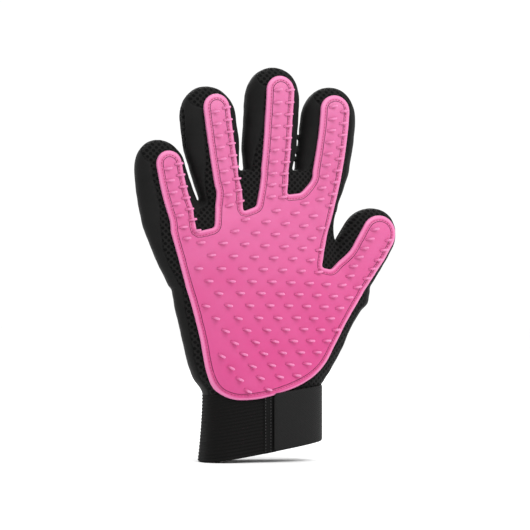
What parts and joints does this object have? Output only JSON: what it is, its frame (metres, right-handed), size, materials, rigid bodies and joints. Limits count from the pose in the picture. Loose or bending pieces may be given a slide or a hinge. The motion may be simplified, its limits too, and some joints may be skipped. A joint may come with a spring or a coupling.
{
  "type": "pet grooming glove",
  "caption": "Right-hand pet grooming glove of black fabric, with a rubber pad of short grooming tips on the palm and fingers and a wrist cuff closed by a hook-and-loop strap.",
  "frame": {"origin": "middle of the wrist opening, at the cuff's lower edge", "axes": "+Z towards the fingertips, -Y out of the palm side, +X towards the thumb"},
  "size_m": [0.1678, 0.0422, 0.2395],
  "materials": {
    "pad": "satin",
    "air_mesh": "matte",
    "side_fabric": "satin",
    "back_fabric": "satin",
    "elastic": "matte",
    "binding": "satin",
    "loop_tape": "matte",
    "hook_tape": "matte",
    "strap_tape": "matte"
  },
  "bodies": {
    "glove_body": {"palm_pad": "pad", "palm_mesh": "air_mesh", "back_panel": "back_fabric", "outer_gusset": "side_fabric", "thumb_gusset": "side_fabric", "fourchette_little_ring": "side_fabric", "fourchette_ring_middle": "side_fabric", "fourchette_middle_index": "side_fabric", "fourchette_index_thumb": "side_fabric", "wrist_binding": "binding", "cuff_band": "elastic", "cuff_hem": "binding", "loop_patch": "loop_tape", "strap_anchor": "strap_tape"},
    "strap": {"strap_tab": "strap_tape", "hook_patch": "hook_tape"},
    "little_knuckle": {"little_knuckle_pad": "pad", "little_knuckle_mesh": "air_mesh", "little_knuckle_gussets": "side_fabric", "little_knuckle_back": "back_fabric"},
    "little_end": {"little_end_pad": "pad", "little_end_mesh": "air_mesh", "little_end_gussets": "side_fabric", "little_end_back": "back_fabric"},
    "ring_knuckle": {"ring_knuckle_pad": "pad", "ring_knuckle_mesh": "air_mesh", "ring_knuckle_gussets": "side_fabric", "ring_knuckle_back": "back_fabric"},
    "ring_end": {"ring_end_pad": "pad", "ring_end_mesh": "air_mesh", "ring_end_gussets": "side_fabric", "ring_end_back": "back_fabric"},
    "middle_knuckle": {"middle_knuckle_pad": "pad", "middle_knuckle_mesh": "air_mesh", "middle_knuckle_gussets": "side_fabric", "middle_knuckle_back": "back_fabric"},
    "middle_end": {"middle_end_pad": "pad", "middle_end_mesh": "air_mesh", "middle_end_gussets": "side_fabric", "middle_end_back": "back_fabric"},
    "index_knuckle": {"index_knuckle_pad": "pad", "index_knuckle_mesh": "air_mesh", "index_knuckle_gussets": "side_fabric", "index_knuckle_back": "back_fabric"},
    "index_end": {"index_end_pad": "pad", "index_end_mesh": "air_mesh", "index_end_gussets": "side_fabric", "index_end_back": "back_fabric"},
    "thumb_end": {"thumb_pad": "pad", "thumb_mesh": "air_mesh", "thumb_back": "back_fabric"}
  },
  "joints": [
    {"name": "strap_peel", "type": "hinge", "parent": "glove_body", "child": "strap", "pos_m": [0.03885, -0.0015, 0.0215], "axis": [0, 0, 1], "range_deg": [0, 150]},
    {"name": "little_knuckle_bend", "type": "hinge", "parent": "glove_body", "child": "little_knuckle", "pos_m": [-0.06027, -0.009, 0.1538], "axis": [0.964, 0, 0.266], "range_deg": [0, 50], "stiffness_Nm_per_rad": 0.03},
    {"name": "little_end_bend", "type": "hinge", "parent": "little_knuckle", "child": "little_end", "pos_m": [-0.06354, -0.009, 0.1677], "axis": [0.9821, 0, 0.1885], "range_deg": [0, 50], "stiffness_Nm_per_rad": 0.03},
    {"name": "ring_knuckle_bend", "type": "hinge", "parent": "glove_body", "child": "ring_knuckle", "pos_m": [-0.03081, -0.0098, 0.18055], "axis": [0.9882, 0, 0.153], "range_deg": [0, 50], "stiffness_Nm_per_rad": 0.03},
    {"name": "ring_end_bend", "type": "hinge", "parent": "ring_knuckle", "child": "ring_end", "pos_m": [-0.03289, -0.0098, 0.19479], "axis": [0.9908, 0, 0.1352], "range_deg": [0, 50], "stiffness_Nm_per_rad": 0.03},
    {"name": "middle_knuckle_bend", "type": "hinge", "parent": "glove_body", "child": "middle_knuckle", "pos_m": [0.00585, -0.0102, 0.1861], "axis": [0.9969, 0, -0.0783], "range_deg": [0, 50], "stiffness_Nm_per_rad": 0.03},
    {"name": "middle_end_bend", "type": "hinge", "parent": "middle_knuckle", "child": "middle_end", "pos_m": [0.00738, -0.0102, 0.20764], "axis": [0.998, 0, -0.0636], "range_deg": [0, 50], "stiffness_Nm_per_rad": 0.03},
    {"name": "index_knuckle_bend", "type": "hinge", "parent": "glove_body", "child": "index_knuckle", "pos_m": [0.04188, -0.01, 0.18265], "axis": [0.988, 0, -0.1546], "range_deg": [0, 50], "stiffness_Nm_per_rad": 0.03},
    {"name": "index_end_bend", "type": "hinge", "parent": "index_knuckle", "child": "index_end", "pos_m": [0.04379, -0.01, 0.19689], "axis": [0.9938, 0, -0.1111], "range_deg": [0, 50], "stiffness_Nm_per_rad": 0.03},
    {"name": "thumb_bend", "type": "hinge", "parent": "glove_body", "child": "thumb_end", "pos_m": [0.06671, -0.01, 0.12352], "axis": [0.8476, 0, -0.5307], "range_deg": [0, 50], "stiffness_Nm_per_rad": 0.03}
  ]
}
